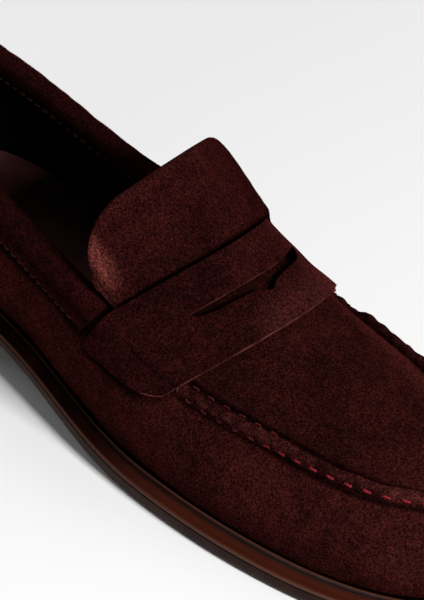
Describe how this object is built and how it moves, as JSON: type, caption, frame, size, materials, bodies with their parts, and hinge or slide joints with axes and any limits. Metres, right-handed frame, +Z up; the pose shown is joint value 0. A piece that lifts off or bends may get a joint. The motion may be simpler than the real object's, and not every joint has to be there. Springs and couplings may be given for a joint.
{
  "type": "penny loafer",
  "caption": "Slip-on shoe with a stitched raised apron, a slotted saddle strap, a flared tongue flap and a low heel.",
  "frame": {"origin": "on the ground under the middle of the heel's tread face", "axes": "+X towards the toe, +Y towards the inner side of the foot, +Z up"},
  "size_m": [0.2967, 0.1027, 0.0921],
  "materials": {
    "suede": "napped burgundy suede",
    "lining": "smooth dark calf",
    "rubber": "brown, satin",
    "welt": "burnished brown, glossy",
    "thread": "bright red waxed thread",
    "tonal_thread": "burgundy waxed thread",
    "cork": "granulated cork",
    "board": "fibre board",
    "foam": "open-cell foam",
    "steel": "spring steel",
    "stiffener": "fibre stiffener"
  },
  "bodies": {
    "shoe": {"outsole": "rubber", "welt": "welt", "heel_block": "rubber", "heel_top_piece": "rubber", "cork_filler": "cork", "shank": "steel", "insole_board": "board", "footbed_foam": "foam", "sock_liner": "lining", "side_wall": "suede", "apron": "suede", "seam_ridge": "suede", "saddle_strap": "suede", "collar_binding": "suede", "heel_patch": "suede", "apron_lining": "lining", "vamp_lining": "lining", "quarter_lining": "lining", "collar_padding": "foam", "heel_counter": "stiffener", "toe_puff": "stiffener", "seam_thread_outer": "thread", "seam_thread_inner": "thread", "collar_thread": "tonal_thread", "strap_thread_outer": "tonal_thread", "strap_thread_inner": "tonal_thread"},
    "tongue": {"tongue": "suede", "tongue_lining": "lining"}
  },
  "joints": [
    {"name": "tongue_flap", "type": "hinge", "parent": "shoe", "child": "tongue", "pos_m": [0.1155, 0.0015, 0.0735], "axis": [0, 1, 0], "range_deg": [0, 25]}
  ]
}
